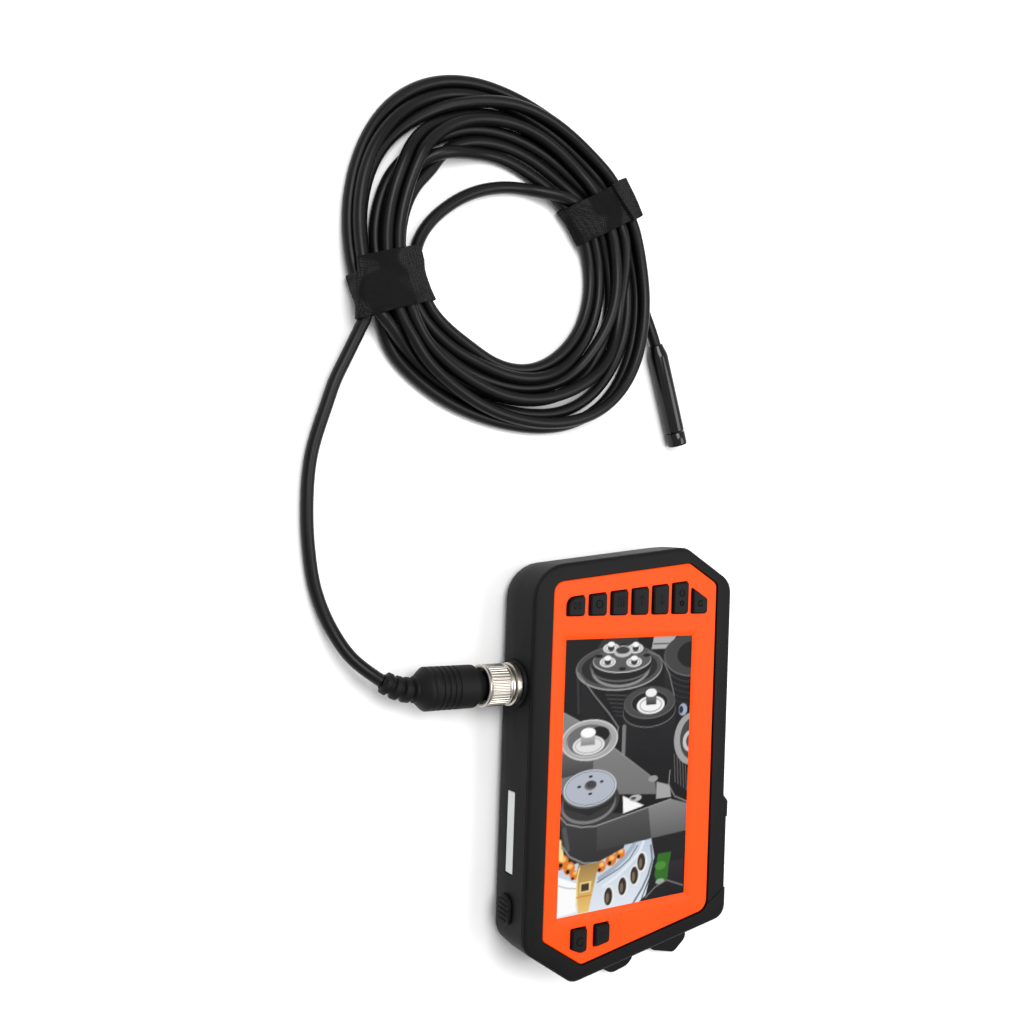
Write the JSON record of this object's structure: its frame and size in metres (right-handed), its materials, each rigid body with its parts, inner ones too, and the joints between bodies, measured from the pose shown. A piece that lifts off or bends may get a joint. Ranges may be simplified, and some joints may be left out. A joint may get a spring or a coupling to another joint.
{
  "type": "inspection camera",
  "caption": "Handheld inspection camera with a screen and keys in a flat case, and a coiled probe cable with two straps on a round side connector.",
  "frame": {"origin": "centre of the case's footprint, with its stand, port cover and socket, on the surface that it lies on", "axes": "+X to the right across the screen, +Y to the top of the screen, +Z out of the screen"},
  "size_m": [0.1893, 0.3621, 0.0271],
  "materials": {
    "case_black": "fine matt texture",
    "panel_orange": "satin",
    "rubber_black": "matt",
    "cable_black": "semi-gloss jacket",
    "probe_black": "polished",
    "insert_black": "moulded",
    "nickel": "nickel plated",
    "steel": "plain",
    "board_green": "solder mask",
    "diffuser": "translucent",
    "battery_foil": "foil wrap",
    "display_can": "plain",
    "screen_glass": "polished",
    "lens_glass": "polished",
    "strap_fabric": "woven hook and loop"
  },
  "bodies": {
    "case": {"rear_shell": "case_black", "front_frame": "case_black", "front_panel": "panel_orange", "port_cover_pin": "steel", "stand_pin": "steel", "case_screw_1": "steel", "case_screw_2": "steel", "case_screw_3": "steel", "case_screw_4": "steel", "screen_glass": "screen_glass", "display_panel": "display_can", "main_board": "board_green", "battery_pack": "battery_foil", "upper_key_board": "board_green", "lower_key_board": "board_green", "light_board": "board_green", "port_board": "board_green", "usb_port": "steel", "card_slot": "steel", "memory_card": "insert_black", "light_strip": "diffuser", "switch_body": "steel", "socket_washer": "rubber_black", "socket_shell": "nickel", "socket_insert": "insert_black", "socket_nut": "steel", "plug_collar": "insert_black", "plug_body": "rubber_black", "strain_relief": "rubber_black", "cable_lead": "cable_black", "cable_inner_strand": "cable_black", "cable_tail": "cable_black", "cable_coil": "cable_black", "strap_1": "strap_fabric", "strap_2": "strap_fabric", "probe_housing": "probe_black", "probe_cap": "probe_black", "probe_light_ring": "nickel", "probe_lens": "lens_glass"},
    "key_1": {"key_1": "rubber_black"},
    "key_2": {"key_2": "rubber_black"},
    "key_3": {"key_3": "rubber_black"},
    "key_4": {"key_4": "rubber_black"},
    "key_5": {"key_5": "rubber_black"},
    "key_6": {"key_6": "rubber_black"},
    "key_7": {"key_7": "rubber_black"},
    "key_8": {"key_8": "rubber_black"},
    "key_9": {"key_9": "rubber_black"},
    "switch": {"switch_knob": "rubber_black"},
    "cover": {"port_cover": "rubber_black"},
    "stand": {"stand": "case_black"},
    "nut": {"coupling_nut": "nickel"}
  },
  "joints": [
    {"name": "key_1_press", "type": "slide", "parent": "case", "child": "key_1", "axis": [0, 0, -1], "range_m": [0, 0.0008], "stiffness_N_per_m": 800},
    {"name": "key_2_press", "type": "slide", "parent": "case", "child": "key_2", "axis": [0, 0, -1], "range_m": [0, 0.0008], "stiffness_N_per_m": 800},
    {"name": "key_3_press", "type": "slide", "parent": "case", "child": "key_3", "axis": [0, 0, -1], "range_m": [0, 0.0008], "stiffness_N_per_m": 800},
    {"name": "key_4_press", "type": "slide", "parent": "case", "child": "key_4", "axis": [0, 0, -1], "range_m": [0, 0.0008], "stiffness_N_per_m": 800},
    {"name": "key_5_press", "type": "slide", "parent": "case", "child": "key_5", "axis": [0, 0, -1], "range_m": [0, 0.0008], "stiffness_N_per_m": 800},
    {"name": "key_6_press", "type": "slide", "parent": "case", "child": "key_6", "axis": [0, 0, -1], "range_m": [0, 0.0008], "stiffness_N_per_m": 800},
    {"name": "key_7_press", "type": "slide", "parent": "case", "child": "key_7", "axis": [0, 0, -1], "range_m": [0, 0.0008], "stiffness_N_per_m": 800},
    {"name": "key_8_press", "type": "slide", "parent": "case", "child": "key_8", "axis": [0, 0, -1], "range_m": [0, 0.0008], "stiffness_N_per_m": 800},
    {"name": "key_9_press", "type": "slide", "parent": "case", "child": "key_9", "axis": [0, 0, -1], "range_m": [0, 0.0008], "stiffness_N_per_m": 800},
    {"name": "switch_slide", "type": "slide", "parent": "case", "child": "switch", "axis": [0, 1, 0], "range_m": [0, 0.004]},
    {"name": "cover_hinge", "type": "hinge", "parent": "case", "child": "cover", "pos_m": [0.05525, -0.0394, 0.0065], "axis": [0, 1, 0], "range_deg": [0, 90]},
    {"name": "stand_hinge", "type": "hinge", "parent": "case", "child": "stand", "pos_m": [0.02775, -0.0219, 0.0022], "axis": [1, 0, 0], "range_deg": [0, 65]},
    {"name": "nut_turn", "type": "hinge", "parent": "case", "child": "nut", "pos_m": [-0.05675, 0.0364, 0.013], "axis": [1, 0, 0], "continuous": true}
  ]
}
